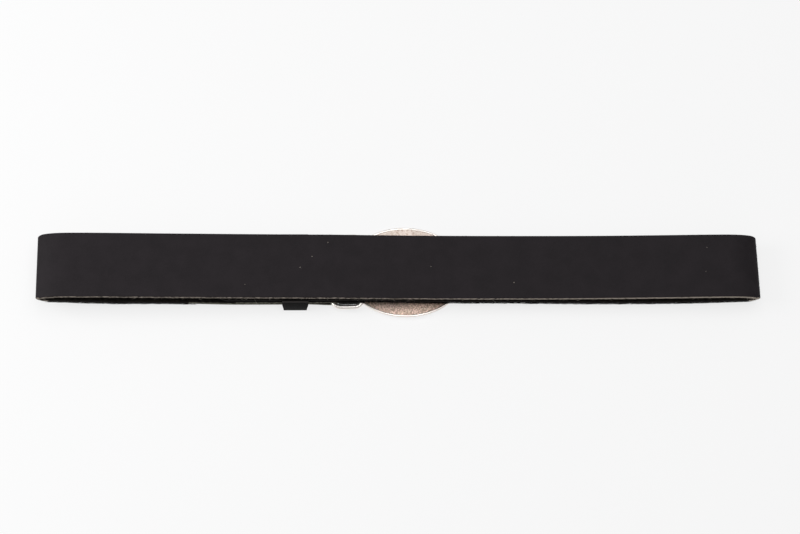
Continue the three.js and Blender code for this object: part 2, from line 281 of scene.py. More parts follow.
def flat_strip(start, end, half, low, high, columns, edge):
    """A flat strip with round edges, from one length to another and between two levels.

    The wall grows down from the high level, and the strip narrows with the strap's round tip.
    """
    rows = rows_between(start, end)
    bm = bmesh.new()
    bmesh.ops.create_grid(bm, x_segments=len(rows) - 1, y_segments=columns, size=0.5)
    for v in bm.verts:
        v.co.x = rows[round((v.co.x + 0.5) * (len(rows) - 1))]
        v.co.y *= 2 * half * narrowing(v.co.x)
        v.co.z = high
    bmesh.ops.remove_doubles(bm, verts=bm.verts, dist=SAME_PLACE)
    bmesh.ops.solidify(bm, geom=bm.faces[:], thickness=high - low)
    bmesh.ops.recalc_face_normals(bm, faces=bm.faces)
    round_off(bm, sharp_edges(bm), radius=edge, segments=3)
    return bm


def bend_mesh(bm, waviness=0.0):
    """Lays a flat strip along the strap's run, with its flat places kept as its UV map."""
    waves_along = 35
    waves_across = 45
    layer = bm.loops.layers.uv.new("flat")
    for face in bm.faces:
        lies = abs(face.normal.z) > 0.5
        for loop in face.loops:
            co = loop.vert.co
            loop[layer].uv = (co.x, co.y) if lies else (co.x, co.z)
    flat = np.array([v.co for v in bm.verts])
    for i, point in enumerate(flat):
        swell = noise.noise(Vector((point[0] * waves_along, point[1] * waves_across, 3.1)))
        flat[i, 2] += waviness * swell
    for v, co in zip(bm.verts, bend(flat)):
        v.co = co


def cut_through(piece, cutters):
    """Cuts every cutter out of a piece, then drops the cutters."""
    tool = place("cutter", cutters)
    cut = piece.modifiers.new("cut", "BOOLEAN")
    cut.solver = "EXACT"
    cut.object = tool
    made = piece.evaluated_get(bpy.context.evaluated_depsgraph_get())
    mesh = bpy.data.meshes.new_from_object(made)
    piece.modifiers.clear()
    piece.data = mesh
    bpy.data.objects.remove(tool)


def front_place(x):
    """The length along the strap at an X between the fold and the loop's left end."""
    return np.interp(-x, -run["x"][FOLD:LEFT_END], run["s"][FOLD:LEFT_END])


def tail_place(x):
    """The length along the strap at an X between the loop's right end and the tip."""
    return np.interp(-x, -run["x"][RIGHT_END:], run["s"][RIGHT_END:])


LEFT_FUR = [front_place(corner.x) for corner in reversed(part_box("fur_strip_left"))]
RIGHT_FUR = [tail_place(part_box("fur_strip_right")[1].x), STRAP_LENGTH]

HOOK_X = 0.0265
HOLE_PITCH = 0.025
HOLE_RADIUS = 0.0025
HOLES = [HOOK_X + k * HOLE_PITCH for k in range(-2, 3)]


def hole_punches():
    """Five upright punches through the tail and its hide, the hook's in the middle."""
    deep = 0.0066
    towards_hide = 0.0015
    bm = bmesh.new()
    for x in HOLES:
        z = np.interp(tail_place(x), run["s"], run["z"]) - towards_hide
        bmesh.ops.create_cone(
            bm, cap_ends=True, segments=32, radius1=HOLE_RADIUS, radius2=HOLE_RADIUS, depth=deep,
            matrix=Matrix.Translation((x, 0, z)),
        )
    return bm


def mixed(tree, share, first, second):
    """The colour between two, each of them another node's output or red, green and blue."""
    ends = [(*end, 1) if isinstance(end, tuple) else end for end in (first, second)]
    return add(tree, "Mix", {0: share, 6: ends[0], 7: ends[1]}, data_type="RGBA").outputs[2]


def ranged(tree, value, start, end, low=0.0, high=1.0):
    """A value spread from one range over another, which it doesn't leave."""
    made = add(tree, "MapRange", {
        "Value": value, "From Min": start, "From Max": end, "To Min": low, "To Max": high,
    })
    return made.outputs["Result"]


def worked_out(tree, operation, *values, clamped=False):
    """The result of one operation on numbers or other nodes' outputs."""
    made = add(tree, "Math", enumerate(values), operation=operation, use_clamp=clamped)
    return made.outputs[0]


def clouds(tree, where, scale, detail, roughness=0.5):
    """Soft patches between 0 and 1."""
    made = add(tree, "TexNoise", {
        "Vector": where, "Scale": scale, "Detail": detail, "Roughness": roughness,
    })
    return made.outputs["Fac"]


def relief(tree, shader, height, strength, distance):
    """Fine relief that a finish has on top of its mesh."""
    bump = add(tree, "Bump", {"Strength": strength, "Distance": distance, "Height": height})
    tree.links.new(bump.outputs["Normal"], shader.inputs["Normal"])


def pebble_group():
    """Leather grain: round cells between fine creases, pores, and broad patches of wear."""
    group = bpy.data.node_groups.new("leather grain", "ShaderNodeTree")
    group.interface.new_socket("Vector", in_out="INPUT", socket_type="NodeSocketVector")
    group.interface.new_socket("Cells", in_out="INPUT", socket_type="NodeSocketFloat")
    group.interface.new_socket("Height", in_out="OUTPUT", socket_type="NodeSocketFloat")
    group.interface.new_socket("Worn", in_out="OUTPUT", socket_type="NodeSocketFloat")
    given = group.nodes.new("NodeGroupInput")
    out = group.nodes.new("NodeGroupOutput")
    flat = given.outputs["Vector"]
    drift = add(group, "TexNoise", {"Vector": flat, "Scale": 260, "Detail": 3})
    moved = add(group, "Mix", {0: 0.0012, 4: flat, 5: drift.outputs["Color"]}, data_type="VECTOR")
    cells = add(group, "TexVoronoi", {"Vector": moved.outputs[1], "Scale": given.outputs["Cells"]},
                feature="DISTANCE_TO_EDGE")
    crease = ranged(group, cells.outputs["Distance"], 0, 0.16)
    pores = clouds(group, flat, 5200, 2)
    group.links.new(worked_out(group, "MULTIPLY_ADD", pores, 0.35, crease), out.inputs["Height"])
    group.links.new(clouds(group, flat, 90, 4), out.inputs["Worn"])
    return group


leather_grain = pebble_group()


def grain_leather(name, dark, light, roughness, specular, highlight_at=None, highlight_colour=None):
    """Matt black leather: its colour and gloss drift a little, and the grain is in the bump.

    It may have a painted highlight: a paler colour in a narrow band at one height.
    """
    material, tree, shader = new_finish(name, dark, roughness, specular=specular)
    flat = add(tree, "UVMap", uv_map="flat").outputs["UV"]
    grain = add(tree, "Group", {"Vector": flat, "Cells": 1300}, node_tree=leather_grain)
    tint = mixed(tree, ranged(tree, grain.outputs["Worn"], 0.35, 0.65), dark, light)
    # A painted highlight: a paler band at the given height, where the leather turns over towards
    # the light.
    if highlight_at is not None:
        where = add(tree, "SeparateXYZ", {"Vector": add(tree, "TexCoord").outputs["Object"]})
        above = worked_out(tree, "SUBTRACT", where.outputs["Z"], highlight_at)
        away = worked_out(tree, "ABSOLUTE", above)
        tint = mixed(tree, ranged(tree, away, 0.0006, 0.0002), tint, highlight_colour)
    tree.links.new(tint, shader.inputs["Base Color"])
    gloss = ranged(
        tree, grain.outputs["Worn"], 0.3, 0.7, low=roughness - 0.05, high=roughness + 0.07,
    )
    tree.links.new(gloss, shader.inputs["Roughness"])
    relief(tree, shader, grain.outputs["Height"], strength=0.35, distance=0.00012)
    return material


def fibre_group():
    """Cut leather: matted fibres drawn out along the strap."""
    group = bpy.data.node_groups.new("leather fibres", "ShaderNodeTree")
    group.interface.new_socket("Vector", in_out="INPUT", socket_type="NodeSocketVector")
    group.interface.new_socket("Fibre", in_out="OUTPUT", socket_type="NodeSocketFloat")
    group.interface.new_socket("Patch", in_out="OUTPUT", socket_type="NodeSocketFloat")
    given = group.nodes.new("NodeGroupInput")
    out = group.nodes.new("NodeGroupOutput")
    flat = given.outputs["Vector"]
    drawn = add(group, "Mapping", {"Vector": flat, "Scale": (1, 2.5, 2.5)})
    fibres = clouds(group, drawn.outputs["Vector"], 1300, 4, roughness=0.65)
    group.links.new(fibres, out.inputs["Fibre"])
    group.links.new(clouds(group, flat, 480, 2), out.inputs["Patch"])
    return group


leather_fibres = fibre_group()


def cut_leather(name, deep, pale, roughness, painted_light_from=None):
    """Bare fibres between a deep and a pale colour.

    An edge given painted light from one length on is paler there, and it then also has painted
    shade towards its inside.
    """
    painted_light_over = 0.2
    material, tree, shader = new_finish(name, pale, roughness, specular=0.08)
    flat = add(tree, "UVMap", uv_map="flat").outputs["UV"]
    fibres = add(tree, "Group", {"Vector": flat}, node_tree=leather_fibres)
    share = worked_out(tree, "ADD", fibres.outputs["Fibre"], fibres.outputs["Patch"])
    # Painted light: paler from the given length on. Painted shade: darker towards the inside of the
    # edge, under the layer.
    if painted_light_from is not None:
        on_edge = add(tree, "SeparateXYZ", {"Vector": flat})
        ramp = ranged(tree, on_edge.outputs["X"], painted_light_from, painted_light_from + painted_light_over, high=0.2)
        painted_shade_inside = ranged(tree, on_edge.outputs["Y"], -0.0013, -0.0006, low=-0.3, high=0)
        share = worked_out(tree, "ADD", share, worked_out(tree, "ADD", ramp, painted_shade_inside))
    tint = mixed(tree, ranged(tree, share, 0.88, 1.12), deep, pale)
    tree.links.new(tint, shader.inputs["Base Color"])
    relief(tree, shader, fibres.outputs["Fibre"], strength=0.8, distance=0.00025)
    return material


strap_face = grain_leather(
    "strap grain", dark=(0.0090, 0.0070, 0.0084), light=(0.0128, 0.0103, 0.0120),
    roughness=0.6, specular=0.10,
)
EDGE_BEFORE_PAINTED_LIGHT = 0.2  # how far past the loop's left end the edge has no painted light
# The raw edge gets painted light towards the loop's right end, and painted shade towards its
# inside.
raw_edge = cut_leather(
    "raw cut edge", deep=(0.030, 0.025, 0.021), pale=(0.31, 0.27, 0.23), roughness=0.95,
    painted_light_from=run["s"][LEFT_END] + EDGE_BEFORE_PAINTED_LIGHT,
)
flesh_side = cut_leather(
    "flesh side", deep=(0.005, 0.0042, 0.0038), pale=(0.016, 0.0135, 0.0115), roughness=0.98,
)
# Painted shade: before the left hide the edge lies under the back layer, so it is painted darker
# than the raw edge; its olive-grey tone is its own.
olive_edge_in_painted_shade = cut_leather(
    "olive edge in painted shade", deep=(0.035, 0.034, 0.026), pale=(0.16, 0.155, 0.125), roughness=0.95,
)
black_edge = cut_leather(
    "black edge", deep=(0.0025, 0.0021, 0.0019), pale=(0.011, 0.0095, 0.0085), roughness=0.95,
)
STRAP_FINISHES = [strap_face, raw_edge, flesh_side, olive_edge_in_painted_shade, black_edge]


def edge_finish(s):
    """The cut edge is pale between the hides, a darker olive grey before the left hide, where its
    darkness is painted shade, and black under the fur.
    """
    if LEFT_FUR[1] < s < RIGHT_FUR[0]:
        return raw_edge
    return olive_edge_in_painted_shade if s < LEFT_FUR[0] else black_edge


def make_strap():
    """The strap, grain side out, with its edges rounded and its holes punched."""
    grain_up = 0.3
    flesh_down = -0.9
    bm = flat_strip(
        0, STRAP_LENGTH, half=STRAP_HALF, low=-LEATHER / 2, high=LEATHER / 2,
        columns=16, edge=0.0005,
    )
    for face in bm.faces:
        if face.normal.z > grain_up:
            finish = strap_face
        elif face.normal.z < flesh_down:
            finish = flesh_side
        else:
            finish = edge_finish(face.calc_center_median().x)
        face.material_index = STRAP_FINISHES.index(finish)
    bend_mesh(bm, waviness=0.00006)
    strap = place("belt_strap", bm, *STRAP_FINISHES)
    cut_through(strap, hole_punches())
    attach(strap, "root")
    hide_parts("strap")


make_strap()


# The fur
# Strips of black hair-on hide lie on the outward face of the front stretches. The hair lies along
# the strap and hangs over its edges, where it stands out as a dark fuzz.
HIDE = 0.0012
SEAM = 0.00025
SKIN_LOW = LEATHER / 2 + 0.0001
SKIN_HIGH = LEATHER / 2 + 0.0007
HAIR_HIGH = LEATHER / 2 + SEAM + HIDE


def strands(name, paths, width, facing, material):
    """Closed three-sided strands along paths (strand, point, xyz) that end in a point."""
    flatness = 0.6
    last_width = 0.55
    count, points, _ = paths.shape
    way = np.gradient(paths, axis=1)
    way /= np.linalg.norm(way, axis=2, keepdims=True) + 1e-12
    side = np.cross(way, facing[:, None, :])
    side /= np.linalg.norm(side, axis=2, keepdims=True) + 1e-12
    up = np.cross(side, way)
    taper = np.linspace(1, last_width, points - 1)[None, :, None] * width[:, None, None] / 2
    corners = []
    for angle in (90, 210, 330):
        turn = math.radians(angle)
        offset = side[:, :-1] * math.cos(turn) + up[:, :-1] * math.sin(turn) * flatness
        corners.append(paths[:, :-1] + offset * taper)
    rings = np.stack(corners, axis=2).reshape(count, -1, 3)
    verts = np.concatenate([rings, paths[:, -1:]], axis=1)
    faces = [(0, 1, 2)]
    for k in range(points - 2):
        for j in range(3):
            a, b = 3 * k + j, 3 * k + (j + 1) % 3
            faces.append((a, a + 3, b + 3, b))
    last = 3 * (points - 2)
    faces += [(last + j, last + 3, last + (j + 1) % 3) for j in range(3)]
    size = verts.shape[1]
    whole = [
        tuple(i + start for i in face)
        for start in range(0, count * size, size)
        for face in faces
    ]
    mesh = bpy.data.meshes.new(name)
    mesh.from_pydata(verts.reshape(-1, 3).tolist(), [], whole)
    piece = show(name, mesh, material)
    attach(piece, "root")
    return piece


def bent_strands(name, flat, width, material):
    """Strands whose paths are given on the flat strap, bent round with it."""
    count, points, _ = flat.shape
    paths = bend(flat.reshape(-1, 3)).reshape(count, points, 3)
    outwards = np.array([0, 0, 0.001])
    facing = bend(flat[:, 0] + outwards) - bend(flat[:, 0])
    facing /= np.linalg.norm(facing, axis=1, keepdims=True)
    return strands(name, paths, width, facing, material)


def hair_finish(name, dark, light, roughness):
    """Hair, a little lighter on some strands than on others."""
    material, tree, shader = new_finish(name, dark, roughness, specular=0.1)
    where = add(tree, "TexCoord").outputs["Object"]
    share = ranged(tree, clouds(tree, where, 700, 3), 0.4, 0.65)
    tree.links.new(mixed(tree, share, dark, light), shader.inputs["Base Color"])
    return material


black_hair = hair_finish(
    "black hair", dark=(0.0025, 0.0022, 0.0022), light=(0.008, 0.007, 0.0065), roughness=0.6,
)
hide_skin = cut_leather(
    "hide skin", deep=(0.0015, 0.0013, 0.0012), pale=(0.005, 0.0045, 0.004), roughness=0.9,
)


def fullness(s, strip, most):
    """How full the hair is: it thins with wear over the last decimetre to either end of a strip."""
    ramp = 0.1
    least = 0.12
    from_end = np.maximum(np.minimum(s - strip[0], strip[1] - s), 0)
    return np.clip(np.sqrt(from_end / ramp), least, 1) * most


def lying_hair(rng, start, end, strip, most):
    """Hair over the face of a strip: it rises from the skin and lies down along the strap.

    At the strip's start it lies the other way, so that it hides the cut end of the hide.
    """
    per_mm2 = 1.5
    rooted = STRAP_HALF * 0.985
    overhang = 0.0005
    turned_back = 0.006
    before_start = 0.005
    past_end = 0.0015
    count = int((end - start) * 2 * STRAP_HALF * 1e6 * per_mm2)
    s = rng.uniform(start, end, count)
    y = rng.uniform(-1, 1, count) * rooted
    length = rng.uniform(0.005, 0.0095, count)
    heading = rng.normal(0, 0.16, count)
    heading[s < strip[0] + turned_back] += math.pi
    full = fullness(s, strip, most)
    lift = rng.uniform(0.35, 1.0, count) * full
    t = np.array([0, 0.3, 0.68, 1])
    rise = np.array([0, 0.75, 1, 0.8])
    flat = np.empty((count, len(t), 3))
    flat[..., 0] = s[:, None] + length[:, None] * t * np.cos(heading)[:, None]
    curl = rng.normal(0, 0.0005, count)[:, None] * t**2
    flat[..., 1] = y[:, None] + length[:, None] * t * np.sin(heading)[:, None] + curl
    flat[..., 2] = SKIN_HIGH + (HAIR_HIGH - SKIN_HIGH) * rise * lift[:, None]
    flat[..., 0] = np.clip(flat[..., 0], start - before_start, end + past_end)
    reach = (STRAP_HALF + overhang * full)[:, None]
    flat[..., 1] = np.clip(flat[..., 1], -reach, reach)
    keep = narrowing(np.clip(flat[:, 0, 0], 0, STRAP_LENGTH)) * STRAP_HALF > np.abs(flat[:, 0, 1])
    keep &= clear_of_holes(flat)
    return flat[keep]


def clear_of_holes(flat):
    """Which strands leave the tail's holes open."""
    margin = 1.02
    clear = np.ones(len(flat), bool)
    for x in HOLES:
        away = np.hypot(flat[..., 0] - tail_place(x), flat[..., 1]).min(axis=1)
        clear &= away > HOLE_RADIUS * margin
    return clear


def edge_hair(rng, strip, most):
    """Hair at a strip's edges, which hangs over them and curls back over the cut leather."""
    per_mm = 12
    under_edge = -0.0006
    above_skin = 0.0002
    count = int((strip[1] - strip[0]) * 1000 * per_mm * 2)
    s = rng.uniform(*strip, count)
    side = rng.choice([-1, 1], count)
    full = fullness(s, strip, most)
    out = (rng.uniform(0.00022, 0.0005, count) + rng.exponential(0.00006, count)) * full
    curl = rng.uniform(0.0004, 0.0026, count) * full
    slant = rng.normal(0.0006, 0.0012, count)
    half = STRAP_HALF * narrowing(s)
    flat = np.empty((count, 4, 3))
    points = [(0, 0, 0), (0.3, 0.7, 0.15), (0.7, 1, 0.6), (1, 0.8, 1)]
    for k, (share, over, back) in enumerate(points):
        past = np.full(count, under_edge) if k == 0 else over * out
        flat[:, k, 0] = s + slant * share
        flat[:, k, 1] = side * (half + past)
        flat[:, k, 2] = SKIN_HIGH + above_skin - curl * back
    flat[..., 0] = np.minimum(flat[..., 0], STRAP_LENGTH)
    return flat


def make_fur(name, node, strip, most, seed, parts):
    """A strip of hide with its lying hair, in as many pieces as given, and its edge hair."""
    inset = 0.0002
    rng = np.random.default_rng(seed)
    skin = flat_strip(
        *strip, half=STRAP_HALF - inset, low=SKIN_LOW, high=SKIN_HIGH, columns=14, edge=0.0001,
    )
    bend_mesh(skin)
    hide = place(name, skin, hide_skin)
    if strip[1] > STRAP_LENGTH - TIP_RADIUS:
        cut_through(hide, hole_punches())
    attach(hide, "root")
    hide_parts(node)
    bounds = np.linspace(*strip, parts + 1)
    for k in range(parts):
        face = lying_hair(rng, bounds[k], bounds[k + 1], strip, most)
        width = rng.uniform(0.00016, 0.00026, len(face))
        bent_strands(f"{name}_hair_{k + 1}", face, width, black_hair)
    fuzz = edge_hair(rng, strip, most)
    width = rng.uniform(0.00010, 0.00020, len(fuzz))
    bent_strands(f"{name}_fuzz", fuzz, width, black_hair)


def hanging_hair():
    """Longer hair that hangs straight down from the tail's edges between the ring and its tube."""
    rng = np.random.default_rng(8)
    count = 1300
    from_x = -0.0375
    to_x = -0.0228
    rising = 0.12
    inset = 0.0006
    x = rng.uniform(from_x, to_x, count)
    s = tail_place(x)
    side = rng.choice([-1, 1], count)
    foot = rng.uniform(0.0004, 0.0032, count) + (x - from_x) * rising
    drift = rng.normal(0, 0.0005, count)
    top = bend(np.column_stack([s, side * (STRAP_HALF - inset), np.full(count, SKIN_HIGH)]))
    paths = np.empty((count, 4, 3))
    points = [(0, 0), (0.3, 0.0008), (0.7, 0.0010), (1, 0.0009)]
    for k, (share, over) in enumerate(points):
        paths[:, k, 0] = top[:, 0] + drift * share
        paths[:, k, 1] = top[:, 1] + side * over
        paths[:, k, 2] = top[:, 2] + (foot - top[:, 2]) * share
    facing = np.column_stack([np.zeros(count), side, np.zeros(count)])
    width = rng.uniform(0.00016, 0.0003, count)
    strands("ring_hair", paths, width, facing, black_hair)


make_fur("fur_left", "fur_strip_left", LEFT_FUR, most=1.0, seed=5, parts=1)
make_fur("fur_right", "fur_strip_right", RIGHT_FUR, most=0.75, seed=6, parts=3)
hanging_hair()


# The loose fibres and the lint
# The cut edges shed short leather fibres, and a few specks of pale lint lie on the dark face.
pale_fibre = hair_finish(
    "pale fibre", dark=(0.16, 0.14, 0.12), light=(0.42, 0.38, 0.33), roughness=0.9,
)


def make_fibres():
    """Short fibres along the raw edges. A few longer ones hang down between the layers."""
    rng = np.random.default_rng(11)
    start, end = LEFT_FUR[1], RIGHT_FUR[0]
    per_mm = 2.0
    longer = 0.07
    inner_rim = -0.0012
    in_edge = -0.0001
    count = int((end - start) * 1000 * 2 * per_mm)
    s = rng.uniform(start, end, count)
    side = rng.choice([-1, 1], count)
    half = STRAP_HALF * narrowing(s)
    root = rng.uniform(-0.0013, 0.0012, count)
    length = rng.uniform(0.0002, 0.0006, count) + rng.exponential(0.00012, count)
    way = rng.normal(0, 1, (count, 2)) * np.array([1.0, 0.7])
    width = rng.uniform(0.00005, 0.00010, count)
    hanging = rng.random(count) < longer
    root[hanging] = inner_rim
    length[hanging] = rng.uniform(0.0010, 0.0018, hanging.sum())
    way[hanging, 1] = -rng.uniform(0.5, 1.0, hanging.sum())
    width[hanging] *= 2
    flat = np.empty((count, 3, 3))
    for k, (share, out) in enumerate([(0, 0), (0.5, 0.6), (1, 0.75)]):
        reach = np.full(count, in_edge) if k == 0 else out * length * 0.5
        flat[:, k, 0] = s + way[:, 0] * length * share
        flat[:, k, 1] = side * (half + reach)
        flat[:, k, 2] = root + way[:, 1] * length * share
    flat[..., 0] = np.clip(flat[..., 0], 0, STRAP_LENGTH)
    bent_strands("edge_fibres", flat, width, pale_fibre)


def make_loose_hair():
    """One pale hair that hangs from the cut edge across the gap between the layers."""
    path = np.array([[
        (-0.0863, -0.0190, 0.0140),
        (-0.0856, -0.0197, 0.0105),
        (-0.0846, -0.0201, 0.0070),
        (-0.0832, -0.0202, 0.0040),
        (-0.0822, -0.0198, 0.0020),
    ]])
    facing = np.array([(0, -1, 0)])
    strands("loose_hair", path, np.array([0.00016]), facing, pale_fibre)


# Each speck's X, Y and radius
LINT = [
    (-0.0435, 0.0143, 0.00022),
    (-0.0528, 0.0057, 0.00018),
    (-0.0598, -0.0010, 0.00018),
    (-0.0916, -0.0115, 0.00016),
    (0.0166, 0.0002, 0.00018),
    (0.0651, -0.0095, 0.00026),
    (0.1803, 0.0111, 0.00018),
    (0.1786, -0.0037, 0.00016),
]


def make_lint():
    """Specks of pale dust on the back layer, each a small flattened crumb."""
    rng = np.random.default_rng(4)
    back = slice(LEFT_END, RIGHT_END)
    bm = bmesh.new()
    for x, y, radius in LINT:
        z = np.interp(x, run["x"][back], run["z"][back]) + LEATHER / 2
        squash = Matrix.Diagonal((rng.uniform(1.0, 1.7), 1, 0.5, 1))
        turn = Matrix.Rotation(rng.uniform(0, math.pi), 4, "Z")
        bmesh.ops.create_icosphere(
            bm, subdivisions=2, radius=radius, matrix=Matrix.Translation((x, y, z)) @ turn @ squash,
        )
    lint = place("lint_specks", bm, pale_fibre)
    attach(lint, "root")


make_fibres()
make_loose_hair()
make_lint()


# The keeper
# A narrow loop of thin black leather round the front layer, the flap and the tail, which slides
# along them. Its foot is longer across the strap than its top, its leather is pulled in at the foot
# and spreads where it turns over the strap's edges, and its own edges are dyed and rounded.
KEEPER_WALL = 0.0013
LEAN = 0.0021  # how much further in each wall stands at the top than at the foot
PULLED_IN = 0.94  # the share of its length along the strap that the foot keeps
SPREAD = 0.0009  # what each edge gains above the foot
SPREAD_FROM_FOOT = 0.008  # the height over which it does
# How far under the keeper's top its painted highlight lies.
HIGHLIGHT_BELOW_TOP = 0.0009

# The keeper's paler band just under its top is a painted highlight on its upper bend.
keeper_face = grain_leather(
    "keeper grain", dark=(0.0020, 0.0017, 0.0018), light=(0.0042, 0.0037, 0.0038),
    roughness=0.52, specular=0.035,
    highlight_at=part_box("keeper")[1].z - HIGHLIGHT_BELOW_TOP, highlight_colour=(0.034, 0.031, 0.030),
)


def keeper_section(foot, top, high, corner, spacing):
    """The outside of the keeper seen from its end: a closed row of (y, z) with round corners.

    Its walls bulge a little, so that they stand upright at the foot.
    """
    corner_points = 9
    corners = [Vector(c) for c in ((-foot, 0), (foot, 0), (top, high), (-top, high))]
    bends = []
    for i, here in enumerate(corners):
        start = here + (corners[i - 1] - here).normalized() * corner
        end = here + (corners[(i + 1) % 4] - here).normalized() * corner
        for t in np.linspace(0, 1, corner_points):
            bends.append(start * (1 - t) ** 2 + here * 2 * t * (1 - t) + end * t**2)
    row = []
    for i, here in enumerate(bends):
        ahead = bends[(i + 1) % len(bends)]
        pieces = max(1, round((ahead - here).length / spacing))
        row += [here.lerp(ahead, k / pieces) for k in range(pieces)]
    for point in row:
        up = point.y / high
        point.x += math.copysign((foot - top) * up * (1 - up), point.x) * min(1, abs(point.x) / top)
    return row


def make_keeper():
    """The outside of the loop as one sheet, then its wall inwards, with rounded edges."""
    low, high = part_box("keeper")
    row = keeper_section(
        foot=high.y, top=high.y - LEAN, high=high.z, corner=0.0018, spacing=0.0012,
    )
    steps = [(ahead - here).length for here, ahead in zip(row, row[1:] + row[:1])]
    length = np.append(0, np.cumsum(steps))
    middle = (low.x + high.x) / 2
    wide = high.x - low.x
    waver = 0.00012
    waves = 90
    bm = bmesh.new()
    bmesh.ops.create_grid(bm, x_segments=len(row), y_segments=12, size=0.5)
    flat = bm.loops.layers.uv.new("flat")
    for face in bm.faces:
        for loop in face.loops:
            along = round((loop.vert.co.x + 0.5) * len(row))
            loop[flat].uv = (length[along], loop.vert.co.y * wide)
    for v in bm.verts:
        at = row[round((v.co.x + 0.5) * len(row)) % len(row)]
        x = middle + v.co.y * wide * PULLED_IN
        towards_edge = v.co.y * 2
        lump = noise.noise(Vector((at.x * waves, at.y * waves, v.co.y)))
        spread = SPREAD * towards_edge * min(1, at.y / SPREAD_FROM_FOOT) ** 2
        v.co = (x + waver * abs(towards_edge) * lump + spread, at.x, at.y)
    bmesh.ops.remove_doubles(bm, verts=bm.verts, dist=SAME_PLACE)
    bm.normal_update()
    sample = min(bm.faces, key=lambda f: f.calc_center_median().z)
    if sample.normal.z > 0:
        bmesh.ops.reverse_faces(bm, faces=bm.faces)
    bmesh.ops.solidify(bm, geom=bm.faces[:], thickness=KEEPER_WALL)
    round_off(bm, sharp_edges(bm), radius=0.00035, segments=3)
    sunk = low.z - min(v.co.z for v in bm.verts)
    bmesh.ops.translate(bm, verts=bm.verts, vec=(0, 0, sunk))
    keeper = place("keeper_loop", bm, keeper_face)
    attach(keeper, "root")
    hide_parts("keeper")


make_keeper()


# The buckle's plate
# An oval plate cast in white metal and plated in antique silver, a shallow dome with a raised rim
# round its rough back. The belt lies on its polished front.
def cast_metal(name, colour, dark, roughness, pits):
    """Cast metal with pits and specks. Painted light fills in the pits near the ring, on the left,
    where a side light falls, and towards the far edge, where the glare is; the silver is also
    painted a duller grey towards the far edge.
    """
    material, tree, shader = new_finish(name, colour, roughness, metallic=1.0)
    where = add(tree, "TexCoord").outputs["Object"]
    lumps = clouds(tree, where, 900, 5, roughness=0.62)
    pitted = ranged(tree, lumps, 0.36, 0.52, low=1 - pits)
    speck = ranged(tree, clouds(tree, where, 1250, 2), 0.42, 0.58, low=1 - 0.85 * pits)
    slant = add(tree, "VectorMath", {0: where, 1: (1, 0.5, 0)}, operation="DOT_PRODUCT")
    # Painted light from a side light: the pits fill in near the ring, on the left.
    painted_light_left = ranged(tree, slant.outputs["Value"], -0.026, 0.010, low=0.95, high=-0.25)
    across = add(tree, "SeparateXYZ", {"Vector": where})
    # Painted light towards the far edge, where the glare is: fewer pits and specks there.
    far = ranged(tree, across.outputs["Y"], -0.01, 0.02)
    painted_light_left_and_far = worked_out(tree, "MULTIPLY_ADD", far, 0.4, painted_light_left)
    pits_and_painted_light = worked_out(tree, "ADD", pitted, painted_light_left_and_far, clamped=True)
    specks_and_painted_light = worked_out(tree, "MULTIPLY_ADD", far, 0.5, speck, clamped=True)
    bright = worked_out(tree, "MULTIPLY", pits_and_painted_light, specks_and_painted_light)
    red, green, blue = colour
    tarnish = mixed(
        tree, clouds(tree, where, 520, 2),
        (red * 0.92, green, blue * 0.92), (red * 1.06, green * 0.96, blue * 1.04),
    )
    # Painted towards the far edge: a duller grey silver that tones down its glare.
    silver = mixed(tree, worked_out(tree, "MULTIPLY", far, 0.75), tarnish, (0.56, 0.52, 0.485))
    tree.links.new(mixed(tree, bright, dark, silver), shader.inputs["Base Color"])
    rough = ranged(
        tree, clouds(tree, where, 130, 3), 0.35, 0.65, low=roughness - 0.06, high=roughness + 0.10,
    )
    tree.links.new(rough, shader.inputs["Roughness"])
    relief(tree, shader, lumps, strength=0.4 * pits, distance=0.0002)
    return material


rough_silver = cast_metal(
    "rough cast silver", (0.98, 0.80, 0.69), dark=(0.32, 0.21, 0.15), roughness=0.60, pits=0.75,
)
bright_silver = cast_metal(
    "bright silver", (0.97, 0.91, 0.86), dark=(0.6, 0.52, 0.46), roughness=0.3, pits=0.2,
)


def spun(profile, steps):
    """A closed turned shape from profile points (radius, height)."""
    bm = bmesh.new()
    verts = [bm.verts.new((r, 0, z)) for r, z in profile]
    edges = [bm.edges.new(pair) for pair in zip(verts, verts[1:])]
    bmesh.ops.spin(
        bm, geom=verts + edges, cent=(0, 0, 0), axis=(0, 0, 1), angle=math.tau, steps=steps,
        use_merge=True, use_normal_flip=False, use_duplicate=False,
    )
    bmesh.ops.remove_doubles(bm, verts=bm.verts, dist=SAME_PLACE)
    bmesh.ops.recalc_face_normals(bm, faces=bm.faces)
    return bm


